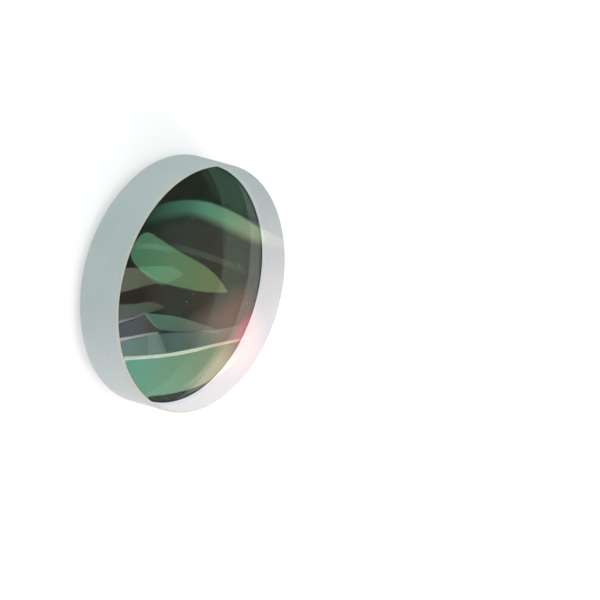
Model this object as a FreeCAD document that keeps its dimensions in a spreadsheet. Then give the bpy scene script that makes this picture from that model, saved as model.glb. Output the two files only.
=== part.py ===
import FreeCAD, Part
import enum
import math
import os
import Sketcher

# A collimating lens, turned and ground from one piece of optical glass. Its front face is a
# shallow concave sphere, its back face a slightly stronger convex one, so it is a weak positive
# meniscus. The edge is a fine-ground cylinder with a 45 degree bevel at each rim.
# The lens lies on its convex back. The origin is the back vertex and +Z is the optical axis.

NODE = "collimating_lens"

# Alias, size in millimetres, what it measures.
SIZES = [
    ("diameter", 37.0, "outside diameter of the ground edge"),
    ("centre_thickness", 7.75, "glass on the axis, from the back vertex to the front vertex"),
    ("front_radius", 200.0, "radius of curvature of the concave front face"),
    ("back_radius", 160.0, "radius of curvature of the convex back face"),
    ("front_bevel", 0.3, "leg of the bevel at the front rim"),
    ("back_bevel", 0.4, "leg of the bevel at the back rim"),
]

# Sketcher's own geometry: the origin point, and the vertical axis, which is the optical axis.
ORIGIN = (-1, 1)
VERTICAL_AXIS = -2

FULL_TURN = 360


class Point(enum.IntEnum):
    """Sketcher's numbers for the points of a line or an arc."""

    START = 1
    END = 2
    CENTRE = 3


def add_sheet(doc):
    """The spreadsheet that holds every size."""
    sheet = doc.addObject("Spreadsheet::Sheet", "Dimensions")
    for row, (alias, size, meaning) in enumerate(SIZES, start=1):
        sheet.set(f"A{row}", meaning)
        sheet.set(f"B{row}", str(size))
        sheet.setAlias(f"B{row}", alias)
    doc.recompute()
    return sheet


def bind(sketch, constraint, name, expression):
    """Add a named size to a sketch and tie it to the spreadsheet."""
    index = sketch.addConstraint(constraint)
    sketch.renameConstraint(index, name)
    sketch.setExpression(f"Constraints.{name}", expression)


def bind_bevel(sketch, name, leg, face_side, edge_side, lower, upper):
    """Equal legs across and along the axis, which make a bevel of 45 degrees."""
    across = Sketcher.Constraint("DistanceX", *face_side, *edge_side, leg)
    bind(sketch, across, f"{name}_across", f"Dimensions.{name}")
    along = Sketcher.Constraint("DistanceY", *lower, *upper, leg)
    bind(sketch, along, f"{name}_along", f"Dimensions.{name}")


def face_arc(vertex, radius, reach):
    """An arc from a face's vertex on the axis out to its own edge, curving upwards."""
    centre = FreeCAD.Vector(0, vertex + radius, 0)
    circle = Part.Circle(centre, FreeCAD.Vector(0, 0, 1), radius)
    down = -math.pi / 2
    return Part.ArcOfCircle(circle, down, down + math.asin(reach / radius))


def face_edge(vertex, radius, reach):
    """The point at which a face's arc ends."""
    return FreeCAD.Vector(reach, vertex + radius - math.sqrt(radius**2 - reach**2), 0)


def origin_plane(body, role):
    """One of a body's own origin planes."""
    return next(plane for plane in body.Origin.OriginFeatures if plane.Role == role)


def draw_section(body, sheet):
    """Half of the section: axis, back face, back bevel, ground edge, front bevel, front face."""
    section = body.newObject("Sketcher::SketchObject", "section")
    section.AttachmentSupport = (origin_plane(body, "XZ_Plane"), [""])
    section.MapMode = "FlatFace"

    rim = sheet.diameter / 2
    back_reach = rim - sheet.back_bevel
    front_reach = rim - sheet.front_bevel
    back_vertex = FreeCAD.Vector(0, 0, 0)
    front_vertex = FreeCAD.Vector(0, sheet.centre_thickness, 0)
    back_edge = face_edge(back_vertex.y, sheet.back_radius, back_reach)
    front_edge = face_edge(front_vertex.y, sheet.front_radius, front_reach)
    edge_foot = FreeCAD.Vector(rim, back_edge.y + sheet.back_bevel, 0)
    edge_top = FreeCAD.Vector(rim, front_edge.y - sheet.front_bevel, 0)

    axis = section.addGeometry(Part.LineSegment(back_vertex, front_vertex))
    back_face = section.addGeometry(face_arc(back_vertex.y, sheet.back_radius, back_reach))
    back_bevel = section.addGeometry(Part.LineSegment(back_edge, edge_foot))
    edge = section.addGeometry(Part.LineSegment(edge_foot, edge_top))
    front_bevel = section.addGeometry(Part.LineSegment(edge_top, front_edge))
    front_face = section.addGeometry(face_arc(front_vertex.y, sheet.front_radius, front_reach))

    section.addConstraint([
        Sketcher.Constraint("Coincident", axis, Point.START, *ORIGIN),
        Sketcher.Constraint("Coincident", back_face, Point.START, axis, Point.START),
        Sketcher.Constraint("Coincident", back_bevel, Point.START, back_face, Point.END),
        Sketcher.Constraint("Coincident", edge, Point.START, back_bevel, Point.END),
        Sketcher.Constraint("Coincident", front_bevel, Point.START, edge, Point.END),
        Sketcher.Constraint("Coincident", front_face, Point.END, front_bevel, Point.END),
        Sketcher.Constraint("Coincident", front_face, Point.START, axis, Point.END),
        Sketcher.Constraint("Vertical", axis),
        Sketcher.Constraint("Vertical", edge),
        Sketcher.Constraint("PointOnObject", back_face, Point.CENTRE, VERTICAL_AXIS),
        Sketcher.Constraint("PointOnObject", front_face, Point.CENTRE, VERTICAL_AXIS),
    ])

    axis_ends = (axis, Point.START, axis, Point.END)
    thickness = Sketcher.Constraint("DistanceY", *axis_ends, sheet.centre_thickness)
    bind(section, thickness, "centre_thickness", "Dimensions.centre_thickness")
    rim_size = Sketcher.Constraint("DistanceX", *ORIGIN, edge, Point.START, rim)
    bind(section, rim_size, "rim", "Dimensions.diameter / 2")
    back_size = Sketcher.Constraint("Radius", back_face, sheet.back_radius)
    bind(section, back_size, "back_radius", "Dimensions.back_radius")
    front_size = Sketcher.Constraint("Radius", front_face, sheet.front_radius)
    bind(section, front_size, "front_radius", "Dimensions.front_radius")
    back_inner = (back_bevel, Point.START)
    back_outer = (back_bevel, Point.END)
    bind_bevel(section, "back_bevel", sheet.back_bevel,
               face_side=back_inner, edge_side=back_outer, lower=back_inner, upper=back_outer)
    front_outer = (front_bevel, Point.START)
    front_inner = (front_bevel, Point.END)
    bind_bevel(section, "front_bevel", sheet.front_bevel,
               face_side=front_inner, edge_side=front_outer, lower=front_outer, upper=front_inner)
    return section


def add_lens(doc, sheet):
    """The whole lens, its section turned once round the optical axis."""
    body = doc.addObject("PartDesign::Body", "Lens")
    body.Label = NODE
    section = draw_section(body, sheet)
    glass = body.newObject("PartDesign::Revolution", "glass")
    glass.Profile = (section, [""])
    glass.ReferenceAxis = (section, ["V_Axis"])
    glass.Angle = FULL_TURN
    return body


def check(doc, bodies):
    """Stop if any object failed to compute or a body has no valid solid."""
    for item in doc.Objects:
        if "Invalid" in item.State or "Error" in item.State:
            raise RuntimeError(f"{item.Label} failed: {item.State}")
    for body in bodies:
        if body.Shape.isNull() or not body.Shape.isValid():
            raise RuntimeError(f"{body.Label} has no valid shape")


def main():
    doc = FreeCAD.newDocument("collimating_lens")
    sheet = add_sheet(doc)
    bodies = [add_lens(doc, sheet)]
    doc.recompute()
    check(doc, bodies)
    os.makedirs("parts", exist_ok=True)
    for body in bodies:
        body.Shape.exportStep(f"parts/{body.Label}.step")


main()
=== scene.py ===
import enum
import math

import bmesh
import bpy
from mathutils import Matrix, Vector


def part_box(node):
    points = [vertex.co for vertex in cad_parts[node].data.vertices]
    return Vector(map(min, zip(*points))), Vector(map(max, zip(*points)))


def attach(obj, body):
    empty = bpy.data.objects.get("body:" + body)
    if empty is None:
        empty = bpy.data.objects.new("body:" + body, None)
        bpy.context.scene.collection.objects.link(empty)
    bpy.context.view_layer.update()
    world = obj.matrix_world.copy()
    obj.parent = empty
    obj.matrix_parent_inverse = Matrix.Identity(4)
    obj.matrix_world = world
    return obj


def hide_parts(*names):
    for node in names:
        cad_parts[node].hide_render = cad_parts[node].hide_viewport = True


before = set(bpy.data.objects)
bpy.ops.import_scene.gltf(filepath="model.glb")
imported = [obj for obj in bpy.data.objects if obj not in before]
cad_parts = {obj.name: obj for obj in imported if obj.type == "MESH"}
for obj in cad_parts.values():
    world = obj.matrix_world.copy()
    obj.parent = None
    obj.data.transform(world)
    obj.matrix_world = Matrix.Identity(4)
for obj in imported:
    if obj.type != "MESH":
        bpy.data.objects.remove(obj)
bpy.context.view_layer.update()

# A collimating lens that lies on its convex back, seen from above and to one side. Lengths are in
# metres and angles in degrees. The CAD box gives the lens's diameter and height, and the values
# below are those of its section.

NODE = "collimating_lens"

# Section of the lens.
FRONT_RADIUS = 0.200
BACK_RADIUS = 0.160
FRONT_BEVEL = 0.0003
BACK_BEVEL = 0.0004
GLASS_IOR = 1.45

lowest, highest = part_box(NODE)
LENS_RADIUS = (highest.x - lowest.x) / 2
LENS_HEIGHT = highest.z - lowest.z

# The coating of the back face stops this far from its edge.
BARE_MARGIN = 0.0003

# Mesh density: sides round the lens, and rings across each face and up the edge.
SIDES = 288
FACE_RINGS = 48
EDGE_RINGS = 8

# The photograph: its size and, in its pixels, the lens's centre and radius.
PHOTO_SIZE = 600
LENS_CENTRE_PX = (183.1, 283.6)
LENS_RADIUS_PX = 127.1

# Its camera: the angle between the view and the optical axis, how far below the picture's right that
# axis points, how far off the camera stands and how far it sees, and its sensor's width in millimetres.
CAMERA_TILT = 50.78
CAMERA_TURN = 15.64
CAMERA_DISTANCE = 1.2
CAMERA_REACH = 10
SENSOR = 36.0

# How many times stronger than bare glass the front coating mirrors, from outside and from inside,
# and the most that it adds to bare glass on each side.
OUTER_GAIN = 2.7
INNER_GAIN = 8.5
OUTER_LIFT = 0.1
INNER_LIFT = 1.0

# Specks of dust on the front face: cells per metre, how much of a cell a speck fills, and its colour.
DUST_SCALE = 520.0
DUST_REACH = 0.036
DUST_COLOUR = (0.62, 0.66, 0.63)

# The share of light that the coating of the back face mirrors.
BACK_SHARE = 0.14

# The fine-ground surfaces: their colours, the share of light that goes through them, how deep their
# grain is, and how much of their shading is drawn out round the axis. The front bevel has colours of
# its own, and from inside the glass a darker one that is painted shade.
WALL_DARK = (0.80, 0.91, 0.92)
WALL_LIGHT = (0.87, 0.96, 0.97)
BEVEL_DARK = (0.84, 0.82, 0.70)
BEVEL_LIGHT = (0.92, 0.89, 0.80)
# Painted shade: the front bevel's darker colour as seen from inside the glass.
BEVEL_SHADED_WITHIN = (0.30, 0.32, 0.34)
GROUND_THROUGH = 0.5
GRAIN_DEPTH = 0.00002
STREAK_SHARE = 0.35

# The reflector cards: how far the first is from the lens, how far each is in front of the one before
# it, and how many steps it takes from rung to rung.
CARD_DISTANCE = 0.8
CARD_GAP = 0.002
STEPS_PER_RUNG = 6

# The dark panel: how far it is behind the cards, half its side, and its faint light.
PANEL_GAP = 0.05
PANEL_REACH = 0.30
PANEL_LIGHT = 0.02

# The dark room that the other sides of the lens mirror, and the leaf-shaped lights on its wall: how
# bright they are, how they lean, in radians, how they are stretched, and where their noise starts
# to shine and shines in full.
ROOM_RADIUS = 3.0
ROOM_LIGHT = 1.6
ROOM_LEAN = (0.5, 0.35, 0.6)
ROOM_STRETCH = (1.7, 3.4, 4.4)
LEAF_START = 0.565
LEAF_FULL = 0.577

# The floor: its grey, the light that makes it white where it is seen, and half its side.
FLOOR_GREY = 0.62
FLOOR_LIFT = 0.52
FLOOR_REACH = 4.0

# The even light all round, and the soft lamps: place, side, power in watts and colour.
SKY_COLOUR = (0.97, 1.0, 1.0)
SKY_LIGHT = 0.59
LAMPS = {
    "rose_lamp": ((0.26, 0.60, 0.12), 0.20, 4.3, (1.0, 0.70, 0.75)),
    "rear_lamp": ((-0.52, -0.42, 0.40), 0.40, 1.85, (0.92, 1.0, 1.0)),
    "side_lamp": ((0.69, 0.25, 0.12), 0.25, 2.0, (1.0, 0.76, 0.78)),
    "fill_lamp": ((0.72, -0.24, 0.32), 0.50, 1.7, (1.0, 0.96, 0.97)),
}


def sag(radius, reach):
    """How far a spherical face rises from its vertex out to reach."""
    return radius - math.sqrt(radius**2 - reach**2)


FRONT_REACH = LENS_RADIUS - FRONT_BEVEL
BACK_REACH = LENS_RADIUS - BACK_BEVEL
FRONT_VERTEX = LENS_HEIGHT - sag(FRONT_RADIUS, FRONT_REACH)
BACK_RIM = sag(BACK_RADIUS, BACK_REACH)


class Zone(enum.IntEnum):
    """Material numbers of the lens's surfaces."""

    BACK_FACE = 0
    BACK_MARGIN = 1
    BACK_BEVEL = 2
    EDGE = 3
    FRONT_BEVEL = 4
    FRONT_FACE = 5


def lens_profile():
    """Rings from the back vertex to the front one: radius, height and the zone that follows."""
    rings = []
    coated = BACK_REACH - BARE_MARGIN
    for i in range(FACE_RINGS):
        reach = coated * i / FACE_RINGS
        rings.append((reach, sag(BACK_RADIUS, reach), Zone.BACK_FACE))
    rings.append((coated, sag(BACK_RADIUS, coated), Zone.BACK_MARGIN))
    rings.append((BACK_REACH, BACK_RIM, Zone.BACK_BEVEL))
    foot = BACK_RIM + BACK_BEVEL
    top = LENS_HEIGHT - FRONT_BEVEL
    for i in range(EDGE_RINGS):
        rings.append((LENS_RADIUS, foot + (top - foot) * i / EDGE_RINGS, Zone.EDGE))
    rings.append((LENS_RADIUS, top, Zone.FRONT_BEVEL))
    for i in range(FACE_RINGS):
        reach = FRONT_REACH * (1 - i / FACE_RINGS)
        rings.append((reach, FRONT_VERTEX + sag(FRONT_RADIUS, reach), Zone.FRONT_FACE))
    rings.append((0.0, FRONT_VERTEX, Zone.FRONT_FACE))
    return rings


def ring_vertices(mesh, reach, height):
    """One vertex on the axis, or a ring of them."""
    if reach == 0:
        return [mesh.verts.new((0, 0, height))]
    turns = [2 * math.pi * i / SIDES for i in range(SIDES)]
    return [mesh.verts.new((reach * math.cos(a), reach * math.sin(a), height)) for a in turns]


def make_lens(materials):
    """The lens as one closed turned mesh, with a material for each ground or polished surface."""
    mesh = bmesh.new()
    profile = lens_profile()
    rings = [ring_vertices(mesh, reach, height) for reach, height, _ in profile]
    for (_, _, zone), below, above in zip(profile, rings, rings[1:]):
        for i in range(SIDES):
            j = (i + 1) % SIDES
            corners = [below[i % len(below)], below[j % len(below)],
                       above[j % len(above)], above[i % len(above)]]
            face = mesh.faces.new(list(dict.fromkeys(corners)))
            face.material_index = zone
            face.smooth = True
    for edge in mesh.edges:
        zones = {face.material_index for face in edge.link_faces}
        edge.smooth = len(zones) == 1 or zones == {Zone.BACK_FACE, Zone.BACK_MARGIN}
    data = bpy.data.meshes.new("lens_body")
    mesh.to_mesh(data)
    mesh.free()
    lens = bpy.data.objects.new("lens_body", data)
    bpy.context.scene.collection.objects.link(lens)
    for material in materials:
        data.materials.append(material)
    return lens


class Nodes:
    """A small helper that adds shader nodes to a material or to the world."""

    def __init__(self, owner):
        owner.use_nodes = True
        self.tree = owner.node_tree
        self.tree.nodes.clear()

    def add(self, kind, **settings):
        """Add a node, then set its attributes and, for other names, its inputs."""
        node = self.tree.nodes.new(kind)
        for name, value in settings.items():
            if hasattr(node, name):
                setattr(node, name, value)
            else:
                self.put(node.inputs[name.replace("_", " ")], value)
        return node

    def put(self, socket, value):
        """Link a socket to another, or set its value."""
        if isinstance(value, bpy.types.NodeSocket):
            self.tree.links.new(value, socket)
        else:
            socket.default_value = value

    def mix(self, share, first, second):
        """Blend two shaders."""
        node = self.tree.nodes.new("ShaderNodeMixShader")
        self.put(node.inputs[0], share)
        self.put(node.inputs[1], first)
        self.put(node.inputs[2], second)
        return node.outputs[0]

    def sum(self, first, second):
        """Add two shaders."""
        node = self.tree.nodes.new("ShaderNodeAddShader")
        self.put(node.inputs[0], first)
        self.put(node.inputs[1], second)
        return node.outputs[0]

    def math(self, operation, *values):
        """One arithmetic step."""
        node = self.tree.nodes.new("ShaderNodeMath")
        node.operation = operation
        for socket, value in zip(node.inputs, values):
            self.put(socket, value)
        return node.outputs[0]

    def blend(self, share, first, second):
        """Blend two colours."""
        node = self.tree.nodes.new("ShaderNodeMix")
        node.data_type = "RGBA"
        self.put(node.inputs["Factor"], share)
        self.put(node.inputs[6], first)
        self.put(node.inputs[7], second)
        return node.outputs[2]

    def ramp(self, value, stops, interpolation="LINEAR"):
        """A colour ramp from (position, colour) pairs."""
        node = self.tree.nodes.new("ShaderNodeValToRGB")
        node.color_ramp.interpolation = interpolation
        self.put(node.inputs[0], value)
        elements = node.color_ramp.elements
        while len(elements) < len(stops):
            elements.new(0.5)
        for element, (position, colour) in zip(elements, stops):
            element.position = position
            element.color = (*colour, 1)
        return node.outputs[0]

    def noise(self, scale, detail=3.0):
        """Noise in the object's own space, at a scale per metre."""
        place = self.add("ShaderNodeTexCoord").outputs["Object"]
        node = self.add("ShaderNodeTexNoise", Vector=place, Scale=scale, Detail=detail)
        return node.outputs["Fac"]

    def streaks(self, along, across):
        """Noise drawn out round the optical axis, as a turning lens is ground."""
        place = self.add("ShaderNodeTexCoord").outputs["Object"]
        drawn = self.add("ShaderNodeMapping", Vector=place)
        drawn.inputs["Scale"].default_value = (along, along, across)
        node = self.add("ShaderNodeTexNoise", Vector=drawn.outputs[0], Scale=1.0, Detail=3.0)
        return node.outputs["Fac"]

    def bump(self, height, depth):
        """A bump of that depth in metres."""
        return self.add("ShaderNodeBump", Height=height, Distance=depth).outputs["Normal"]

    def out(self, shader):
        """End the material or the world in this shader."""
        kind = "ShaderNodeOutputMaterial"
        if isinstance(self.tree.id_data, bpy.types.World):
            kind = "ShaderNodeOutputWorld"
        self.tree.links.new(shader, self.tree.nodes.new(kind).inputs["Surface"])


def coating_tint(n, inside, within):
    """A coating's leftover colour. From outside it turns with the angle, from purple to green to white."""
    facing = n.add("ShaderNodeLayerWeight", Blend=0.5).outputs["Facing"]
    outer = n.ramp(facing, [
        (0.00, (0.78, 0.26, 0.60)),
        (0.20, (1.00, 0.70, 0.30)),
        (0.31, (0.95, 1.00, 0.34)),
        (0.33, (0.78, 1.00, 0.48)),
        (0.35, (0.52, 1.00, 0.55)),
        (0.375, (0.36, 1.00, 0.58)),
        (0.41, (0.26, 1.00, 0.68)),
        (0.44, (0.24, 0.90, 0.82)),
        (0.58, (0.30, 1.00, 0.66)),
        (0.76, (0.50, 0.95, 0.74)),
        (1.00, (1.00, 1.00, 1.00)),
    ])
    return n.blend(inside, outer, (*within, 1))


def dust(n):
    """1 at a few specks of dust on a face, else 0."""
    place = n.add("ShaderNodeTexCoord").outputs["Object"]
    cells = n.add("ShaderNodeTexVoronoi", Vector=place, Scale=DUST_SCALE)
    return n.math("LESS_THAN", cells.outputs["Distance"], DUST_REACH)


def polished_front():
    """Clear glass under a coating, which mirrors little from outside and more from inside."""
    material = bpy.data.materials.new("polished_front")
    n = Nodes(material)
    inside = n.add("ShaderNodeNewGeometry").outputs["Backfacing"]
    tint = coating_tint(n, inside, within=(0.72, 1.0, 0.80))
    fresnel = n.add("ShaderNodeFresnel", IOR=GLASS_IOR).outputs[0]
    gain = n.math("MULTIPLY_ADD", inside, INNER_GAIN - OUTER_GAIN, OUTER_GAIN)
    lift = n.math("MULTIPLY_ADD", inside, INNER_LIFT - OUTER_LIFT, OUTER_LIFT)
    share = n.math("MINIMUM", n.math("MULTIPLY", fresnel, gain), n.math("ADD", fresnel, lift))
    glass = n.add("ShaderNodeBsdfRefraction", Roughness=0.0, IOR=GLASS_IOR)
    coating = n.add("ShaderNodeBsdfGlossy", Color=tint, Roughness=0.0)
    speck = n.add("ShaderNodeBsdfDiffuse", Color=(*DUST_COLOUR, 1))
    clean = n.mix(share, glass.outputs[0], coating.outputs[0])
    n.out(n.mix(dust(n), clean, speck.outputs[0]))
    return material


def painted_dark_depth(n):
    """Painted dark olive-brown for the back face, with a tone that differs at random, standing in for the
    dark surroundings that show through the clear glass.
    """
    return n.ramp(n.noise(45, detail=0), [
        (0.30, (0.050, 0.036, 0.030)),
        (0.50, (0.062, 0.060, 0.045)),
        (0.70, (0.050, 0.060, 0.046)),
    ], "B_SPLINE")


def polished_back():
    """The far face: a painted dark ground, standing in for the dark surroundings seen through the clear
    glass, under a coating that mirrors the edge inside the glass.
    """
    material = bpy.data.materials.new("polished_back")
    n = Nodes(material)
    inside = n.add("ShaderNodeNewGeometry").outputs["Backfacing"]
    tint = coating_tint(n, inside, within=(0.76, 1.0, 0.92))
    # This diffuse dark is painted: it stands in for the dark surroundings seen through the clear glass.
    ground = n.add("ShaderNodeBsdfDiffuse", Color=painted_dark_depth(n))
    coating = n.add("ShaderNodeBsdfGlossy", Color=tint, Roughness=0.0)
    n.out(n.mix(BACK_SHARE, ground.outputs[0], coating.outputs[0]))
    return material


def bare_margin():
    """The rim of the back face that the coating leaves out, painted near-black navy as the dark that shows
    through the bare glass there.
    """
    material = bpy.data.materials.new("bare_margin")
    n = Nodes(material)
    # Painted dark: this near-black navy stands in for the dark seen through the bare rim of the glass.
    shade = n.ramp(n.noise(300), [(0.3, (0.024, 0.032, 0.044)), (0.7, (0.036, 0.044, 0.058))])
    skin = n.add("ShaderNodeBsdfPrincipled", Base_Color=shade, Roughness=0.12)
    n.out(skin.outputs[0])
    return material


def ground_glass(name, dark, light, within=None):
    """Fine-ground glass: pale and matt, it lets light through. Within is its colour from inside."""
    material = bpy.data.materials.new(name)
    n = Nodes(material)
    lines = n.math("MULTIPLY", n.streaks(120, 3200), STREAK_SHARE)
    cloud = n.math("MULTIPLY_ADD", n.noise(90, detail=5), 1 - STREAK_SHARE, lines)
    tint = n.ramp(cloud, [(0.36, dark), (0.62, light)])
    if within:
        behind = n.add("ShaderNodeNewGeometry").outputs["Backfacing"]
        tint = n.blend(behind, tint, (*within, 1))
    gloss = n.ramp(n.streaks(160, 5200), [(0.35, (0.54, 0.54, 0.54)), (0.65, (0.70, 0.70, 0.70))])
    grain = n.bump(n.noise(9000, detail=2), GRAIN_DEPTH)
    skin = n.add("ShaderNodeBsdfPrincipled", Base_Color=tint, Roughness=gloss, Normal=grain)
    glow = n.add("ShaderNodeBsdfTranslucent", Color=tint)
    n.out(n.mix(GROUND_THROUGH, skin.outputs[0], glow.outputs[0]))
    return material


def make_camera():
    """The photograph's camera, with the lens as large, as turned and as far off centre as there."""
    tilt = math.radians(CAMERA_TILT)
    turn = math.radians(CAMERA_TURN)
    back = Vector((0, -math.sin(tilt), math.cos(tilt)))
    axis_in_view = Vector((0, math.cos(tilt), math.sin(tilt)))
    across = back.cross(axis_in_view)
    right = axis_in_view * math.cos(turn) + across * math.sin(turn)
    up = across * math.cos(turn) - axis_in_view * math.sin(turn)

    focal_px = LENS_RADIUS_PX * CAMERA_DISTANCE / LENS_RADIUS
    aim = Vector((LENS_CENTRE_PX[0] - PHOTO_SIZE / 2, PHOTO_SIZE / 2 - LENS_CENTRE_PX[1], -focal_px))
    straight = Matrix((right, up, back)).transposed()
    turned = straight @ aim.rotation_difference(Vector((0, 0, -1))).to_matrix()

    data = bpy.data.cameras.new("photo_camera")
    data.sensor_width = SENSOR
    data.lens = focal_px * SENSOR / PHOTO_SIZE
    data.clip_end = CAMERA_REACH
    camera = bpy.data.objects.new("photo_camera", data)
    middle = Vector((0, 0, (LENS_HEIGHT + BACK_RIM) / 2))
    camera.matrix_world = Matrix.Translation(middle + back * CAMERA_DISTANCE) @ turned.to_4x4()
    bpy.context.scene.collection.objects.link(camera)
    bpy.context.scene.camera = camera
    bpy.context.view_layer.update()
    return camera, focal_px


def view_ray(camera, focal_px, pixel):
    """Start and direction of the ray through a pixel of the photograph."""
    local = Vector((pixel[0] - PHOTO_SIZE / 2, PHOTO_SIZE / 2 - pixel[1], -focal_px))
    return camera.matrix_world.translation, (camera.matrix_world.to_3x3() @ local).normalized()


def mirrored(camera, focal_px, pixel):
    """The ray through a pixel after the front face has mirrored it: its start and direction."""
    start, way = view_ray(camera, focal_px, pixel)
    centre = Vector((0, 0, FRONT_VERTEX + FRONT_RADIUS))
    gap = start - centre
    along = gap.dot(way)
    reach = math.sqrt(along**2 - gap.length_squared + FRONT_RADIUS**2)
    point = start + way * (reach - along)
    normal = (centre - point).normalized()
    return point, way - 2 * way.dot(normal) * normal


def add_mesh(name, points, faces, material):
    """A plain mesh object from points and faces."""
    data = bpy.data.meshes.new(name)
    data.from_pydata([tuple(p) for p in points], [], faces)
    data.materials.append(material)
    thing = bpy.data.objects.new(name, data)
    bpy.context.scene.collection.objects.link(thing)
    return thing


def only_in_reflections(thing):
    """Let a thing be seen in the glass alone: it lights nothing and hides nothing from the camera."""
    thing.visible_camera = False
    thing.visible_diffuse = False
    thing.visible_shadow = False


WHITE = (1, 1, 1)

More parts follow.
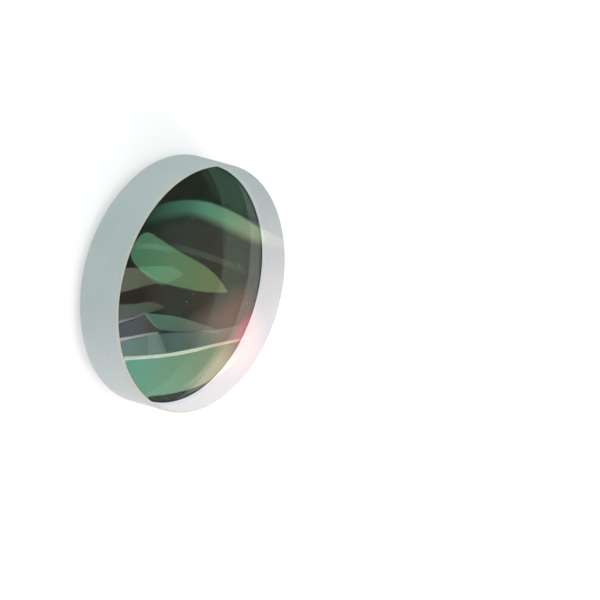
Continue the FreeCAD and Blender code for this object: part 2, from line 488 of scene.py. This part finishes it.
# Pale cards as the front face mirrors them, in the photograph's pixels. Each has its colour, how
# much of its upper and of its lower half is soft, and a ladder of rungs: upper end, lower end, and
# brightness, where 1 is a white card.
CARDS = {
    "arc": (WHITE, 0.25, 0.85, [
        ((147, 210), (141, 228), 0.0), ((156, 206), (152, 226), 0.25), ((170, 201), (168, 221), 0.5),
        ((190, 199), (189, 218), 0.85), ((208, 201), (204, 222), 1.45), ((225, 207), (217, 228), 1.6),
        ((242, 215), (232, 235), 1.7), ((259, 226), (251, 244), 1.6), ((273, 233), (268, 248), 0.8),
        ((290, 243), (288, 253), 0.3)]),
    "arc_warm": ((1, 0.05, 0), 0.3, 0.8, [
        ((225, 207), (217, 228), 0.0), ((242, 215), (232, 235), 0.5), ((256, 224), (248, 242), 0.5),
        ((266, 230), (260, 246), 0.0)]),
    "leaf": ((1.3, 0.9, 0.62), 0.06, 0.06, [
        ((137, 240), (133, 248), 1.05), ((141, 235), (131, 257), 1.05), ((149, 232), (136, 266), 1.05),
        ((164, 241), (147, 275), 1.05), ((183, 253), (165, 284), 1.1), ((203, 264), (186, 289), 1.15),
        ((217, 276), (203, 292), 1.15), ((228, 292), (226, 293), 1.1)]),
    "leaf_facet": ((1.5, 1, 0.9), 0.05, 0.05, [
        ((137, 267), (138, 268), 0.55), ((155, 266), (149, 278), 0.55), ((167, 266), (156, 283), 0.5),
        ((172.5, 266), (160, 285), 0.5), ((174, 267.2), (163, 285.5), 0.5),
        ((184, 274.2), (183, 275.2), 0.45)]),
    "leaf_band": ((1.3, 0.9, 0.9), 0.5, 0.5, [
        ((136, 243), (135, 250), 0.15), ((155, 243), (153, 250), 0.5), ((176, 248), (174, 254), 0.2)]),
    "streak": ((1.6, 1, 1.2), 0.4, 0.4, [
        ((168, 241), (167, 248), 0.0), ((190, 247), (188, 254), 0.24), ((215, 255), (213, 262), 0.26),
        ((240, 265), (238, 272), 0.16), ((252, 271), (250, 276), 0.0)]),
    "olive_wedge": ((4.1, 1.15, 1.0), 0.08, 0.15, [
        ((118, 269), (112, 295), 0.55), ((138, 268), (130, 291), 0.55), ((152, 276), (146, 286), 0.45),
        ((163, 282), (162, 283), 0.3)]),
    "grey_wedge": ((3.6, 1.1, 1.25), 0.25, 0.1, [
        ((114, 303), (110, 328), 0.5), ((136, 303), (128, 318), 0.5), ((150, 301), (146, 314), 0.4),
        ((165, 306), (164, 308), 0.2)]),
    "pink_line": ((5.4, 1.3, 1.8), 0.5, 0.5, [
        ((114, 321.5), (114, 326), 1.0), ((130, 317.2), (131, 320.5), 0.8),
        ((146, 312), (147, 314.5), 0.2)]),
    "purple_wedge": ((3.6, 1, 1.7), 0.1, 0.1, [
        ((114, 326), (114, 344), 0.4), ((135, 319), (132, 339), 0.45), ((146, 314), (152, 334), 0.3),
        ((152, 322), (166, 332), 0.1)]),
    "teal_patch": ((1.5, 1, 1.2), 0.1, 0.15, [
        ((145, 313), (146, 316), 0.9), ((160, 314), (156, 328), 0.85), ((180, 317), (172, 332), 0.8),
        ((205, 325), (200, 332), 0.6), ((222, 331), (218, 333), 0.3)]),
    "glare": ((3.4, 1, 1.6), 0.9, 0.9, [
        ((270, 306), (246, 308), 0.0), ((269, 328), (240, 330), 0.4), ((264, 350), (232, 350), 0.7),
        ((252, 370), (222, 368), 0.4), ((240, 386), (212, 382), 0.0)]),
    "thin_line": ((3.6, 1, 1.4), 0.5, 0.5, [
        ((114, 338), (114, 343), 1.8), ((130, 336), (130, 340), 1.8), ((158, 331), (158, 334), 1.0)]),
    "blue_card": ((2.2, 1, 1.3), 0.1, 0.3, [
        ((114, 341), (118, 366), 1.2), ((133, 339), (134, 360), 1.2), ((152, 334), (156, 358), 0.9),
        ((160, 333), (168, 356), 0.3)]),
    "grey_card": ((1.6, 1, 1.5), 0.15, 0.1, [
        ((148, 334), (148, 357), 0.3), ((170, 332), (172, 355), 0.75), ((200, 331), (204, 349), 0.75),
        ((228, 327), (232, 343), 0.7), ((246, 322), (250, 338), 0.0)]),
    "bright_line": ((1.9, 1, 1.3), 0.5, 0.4, [
        ((120, 356), (120, 361), 1.6), ((140, 355.5), (140, 359.5), 2.8),
        ((165, 353.3), (165, 357.5), 3.6), ((190, 348.8), (191, 353), 3.6),
        ((215, 343.3), (216, 346.6), 2.8), ((238, 338.5), (239, 341.4), 1.6),
        ((250, 336), (250, 338), 0.0)]),
    "bright_line_warm": ((1, 0, 0.04), 0.5, 0.4, [
        ((120, 356), (120, 361), 4.0), ((140, 355.5), (140, 359.5), 5.0),
        ((165, 353.3), (165, 357.5), 3.0), ((190, 348.8), (191, 353), 0.8),
        ((215, 343.3), (216, 346.6), 0.0)]),
    "green_card": ((1.35, 1, 1.1), 0.02, 0.05, [
        ((118, 360), (128, 400), 1.8), ((140, 358), (147, 397), 2.0), ((165, 356.5), (172, 394), 2.0),
        ((191, 351.5), (200, 386), 1.8), ((216, 346), (226, 371), 1.6), ((232, 342), (240, 357), 0.6),
        ((242, 340), (248, 350), 0.0)]),
    "beige_card": ((2.8, 1, 1.3), 0.5, 0.1, [
        ((217, 344), (240, 340), 0.35), ((209, 358), (232, 357), 0.78), ((199, 370), (221, 374), 0.85),
        ((188, 380), (206, 387), 0.6), ((176, 388), (190, 394), 0.0)]),
    "top_wedge": ((0.8, 1, 0.9), 0.3, 0.3, [
        ((200, 170), (208, 160), 0.1), ((212, 196), (240, 172), 0.12), ((228, 208), (262, 200), 0.14),
        ((240, 214), (270, 220), 0.1)]),
    "pink_spot": ((5.0, 0.3, 1.7), 0.6, 0.7, [
        ((259, 298), (247, 298), 0.0), ((256, 314), (243, 313), 0.16), ((252, 326), (238, 324), 0.48),
        ((247, 337), (232, 334), 0.52), ((242, 346), (228, 342), 0.12)]),
    "pink_veil": ((3.0, 1, 1.6), 0.9, 0.9, [
        ((262, 282), (222, 282), 0.0), ((262, 308), (205, 302), 0.4), ((262, 332), (180, 324), 0.6),
        ((250, 352), (190, 345), 0.2)]),
    "haze": ((3.0, 1, 1.4), 0.3, 0.3, [
        ((150, 222), (140, 300), 0.0), ((175, 210), (168, 330), 0.14), ((222, 212), (212, 336), 0.16),
        ((262, 226), (255, 336), 0.1)]),
    "zone_veil": ((0.9, 1, 1.5), 0.02, 0.2, [
        ((222, 218), (262, 222), 0.12), ((222, 250), (262, 250), 0.15), ((221.5, 280), (262, 280), 0.15),
        ((213, 297), (262, 297), 0.1), ((207, 314), (256, 312), 0.0)]),
    "red_haze": ((9.0, 0.2, 1.0), 0.3, 0.3, [
        ((114, 288), (112, 304), 0.03), ((150, 283), (146, 304), 0.04), ((176, 286), (178, 304), 0.0)]),
    "red_line": ((8.0, 0.5, 0.5), 0.6, 0.6, [
        ((118, 268), (118, 272), 0.25), ((130, 266.5), (130, 269.5), 0.2),
        ((140, 266), (140, 268), 0.0)]),
}


def between(points, i, t):
    """A smooth curve through a row of points: the place at a share t past point i."""
    last = len(points) - 1
    before, start, end, after = (points[min(max(k, 0), last)] for k in range(i - 1, i + 3))
    return [0.5 * (2 * b + (c - a) * t + (2 * a - 5 * b + 4 * c - d) * t**2
                   + (3 * b - a - 3 * c + d) * t**3)
            for a, b, c, d in zip(before, start, end, after)]


def ladder_rungs(rungs):
    """The rungs of a card and smooth ones between them, each as x, y, x, y and brightness."""
    rows = [(*upper, *lower, brightness) for upper, lower, brightness in rungs]
    smooth = [between(rows, i, k / STEPS_PER_RUNG)
              for i in range(len(rows) - 1) for k in range(STEPS_PER_RUNG)]
    return smooth + [rows[-1]]


def card_material(name, colour):
    """A card that shines where its glow is, and is clear where it has none."""
    material = bpy.data.materials.new(name)
    n = Nodes(material)
    glow = n.add("ShaderNodeAttribute", attribute_name="glow").outputs["Fac"]
    light = n.add("ShaderNodeEmission", Color=(*colour, 1), Strength=glow)
    n.out(n.sum(n.add("ShaderNodeBsdfTransparent").outputs[0], light.outputs[0]))
    return material


def make_card(name, onto_plane):
    """One card: a strip across its rungs, soft towards its upper and lower edges."""
    colour, soft_above, soft_below, rungs = CARDS[name]
    across = ((0, 0), (soft_above / 2, 1), (1 - soft_below / 2, 1), (1, 0))
    points, glows, faces = [], [], []
    for x1, y1, x2, y2, brightness in ladder_rungs(rungs):
        for share, glow in across:
            points.append(onto_plane((x1 + (x2 - x1) * share, y1 + (y2 - y1) * share)))
            glows.append(max(brightness, 0) * glow)
    row = len(across)
    for i in range(len(points) // row - 1):
        for j in range(row - 1):
            corner = i * row + j
            faces.append((corner, corner + 1, corner + row + 1, corner + row))
    card = add_mesh(f"card_{name}", points, faces, card_material(f"card_{name}", colour))
    card.data.attributes.new("glow", "FLOAT", "POINT").data.foreach_set("value", glows)
    card.visible_transmission = False
    only_in_reflections(card)


def make_panel(centre, outward):
    """A dark square that faces back along outward."""
    side = outward.cross(Vector((0, 0, 1))).normalized()
    rise = side.cross(outward)
    corners = [centre + side * x * PANEL_REACH + rise * y * PANEL_REACH
               for x, y in ((-1, -1), (1, -1), (1, 1), (-1, 1))]
    material = bpy.data.materials.new("dark_panel")
    n = Nodes(material)
    n.out(n.add("ShaderNodeEmission", Strength=PANEL_LIGHT).outputs[0])
    only_in_reflections(add_mesh("dark_panel", corners, [(0, 1, 2, 3)], material))


def make_cards(camera, focal_px):
    """Pale cards, each just in front of the one before it, with the dark panel behind them all."""
    _, outward = mirrored(camera, focal_px, LENS_CENTRE_PX)
    centre = Vector((0, 0, LENS_HEIGHT)) + outward * CARD_DISTANCE
    make_panel(centre + outward * PANEL_GAP, outward)
    for number, name in enumerate(CARDS):
        plane = centre - outward * CARD_GAP * number

        def onto_plane(pixel, plane=plane):
            start, way = mirrored(camera, focal_px, pixel)
            return start + way * (plane - start).dot(outward) / way.dot(outward)

        make_card(name, onto_plane)


def room_material():
    """Dark surroundings with pale leaf-shaped lights, which only sharply mirrored rays meet."""
    material = bpy.data.materials.new("room")
    n = Nodes(material)
    place = n.add("ShaderNodeTexCoord").outputs["Object"]
    stretched = n.add("ShaderNodeMapping", Vector=place)
    stretched.inputs["Rotation"].default_value = ROOM_LEAN
    stretched.inputs["Scale"].default_value = ROOM_STRETCH
    leaf = n.add("ShaderNodeTexNoise", Vector=stretched.outputs[0], Scale=1.0, Detail=0.0,
                 Distortion=0.3).outputs["Fac"]
    shade = n.add("ShaderNodeTexNoise", Vector=place, Scale=1.1, Detail=0.0).outputs["Fac"]
    shape = n.ramp(leaf, [(LEAF_START, (0, 0, 0)), (LEAF_FULL, WHITE), (0.70, (0.45, 0.45, 0.45))])
    depth = n.ramp(shade, [(0.30, (0.10, 0.10, 0.10)), (0.60, WHITE)])
    lit = n.math("MULTIPLY_ADD", n.math("MULTIPLY", shape, depth), ROOM_LIGHT, PANEL_LIGHT)
    light = n.add("ShaderNodeEmission", Strength=lit).outputs[0]
    path = n.add("ShaderNodeLightPath")
    mirrored_once = n.math("MINIMUM", path.outputs["Glossy Depth"], 1.0)
    seen = n.math("MULTIPLY", mirrored_once, path.outputs["Is Singular Ray"])
    n.out(n.mix(seen, n.add("ShaderNodeBsdfTransparent").outputs[0], light))
    return material


def make_room():
    """A wide ball round the lens, which gives its polished faces a dark room to mirror."""
    mesh = bmesh.new()
    bmesh.ops.create_icosphere(mesh, subdivisions=5, radius=ROOM_RADIUS)
    data = bpy.data.meshes.new("room")
    mesh.to_mesh(data)
    mesh.free()
    data.materials.append(room_material())
    room = bpy.data.objects.new("room", data)
    bpy.context.scene.collection.objects.link(room)
    only_in_reflections(room)


def make_floor():
    """A plain floor, white where it is seen, which keeps the lens's shadow."""
    material = bpy.data.materials.new("floor")
    n = Nodes(material)
    surface = n.add("ShaderNodeBsdfDiffuse", Color=(FLOOR_GREY, FLOOR_GREY, FLOOR_GREY, 1)).outputs[0]
    path = n.add("ShaderNodeLightPath")
    seen = n.math("MAXIMUM", path.outputs["Is Camera Ray"], path.outputs["Is Glossy Ray"])
    seen = n.math("MAXIMUM", seen, path.outputs["Is Transmission Ray"])
    lift = n.add("ShaderNodeEmission", Strength=n.math("MULTIPLY", seen, FLOOR_LIFT)).outputs[0]
    n.out(n.sum(surface, lift))
    corners = [(x * FLOOR_REACH, y * FLOOR_REACH, 0) for x, y in ((-1, -1), (1, -1), (1, 1), (-1, 1))]
    floor = add_mesh("floor", corners, [(0, 1, 2, 3)], material)


def add_lamp(name, place, size, power, colour):
    """A square soft lamp that points at the lens, and isn't seen itself, in the glass either."""
    data = bpy.data.lights.new(name, "AREA")
    data.size = size
    data.energy = power
    data.color = colour
    lamp = bpy.data.objects.new(name, data)
    lamp.location = place
    lamp.rotation_mode = "QUATERNION"
    lamp.rotation_quaternion = (-Vector(place)).to_track_quat("-Z", "Y")
    bpy.context.scene.collection.objects.link(lamp)
    lamp.visible_camera = False
    lamp.visible_glossy = False


def make_light():
    """An even pale light all round, and the lamps."""
    world = bpy.data.worlds.new("room")
    bpy.context.scene.world = world
    n = Nodes(world)
    n.out(n.add("ShaderNodeBackground", Color=(*SKY_COLOUR, 1), Strength=SKY_LIGHT).outputs[0])
    for name, (place, size, power, colour) in LAMPS.items():
        add_lamp(name, place, size, power, colour)


camera, focal_px = make_camera()
make_light()
make_floor()
make_room()
make_cards(camera, focal_px)

lens = make_lens([
    polished_back(),
    bare_margin(),
    ground_glass("ground_back_bevel", WALL_DARK, WALL_LIGHT),
    ground_glass("ground_edge", WALL_DARK, WALL_LIGHT),
    # The front bevel's colour from inside the glass is painted shade, darker than from outside.
    ground_glass("ground_front_bevel", BEVEL_DARK, BEVEL_LIGHT, within=BEVEL_SHADED_WITHIN),
    polished_front(),
])
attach(lens, "root")
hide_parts(NODE)

bpy.context.scene.view_settings.view_transform = "Standard"
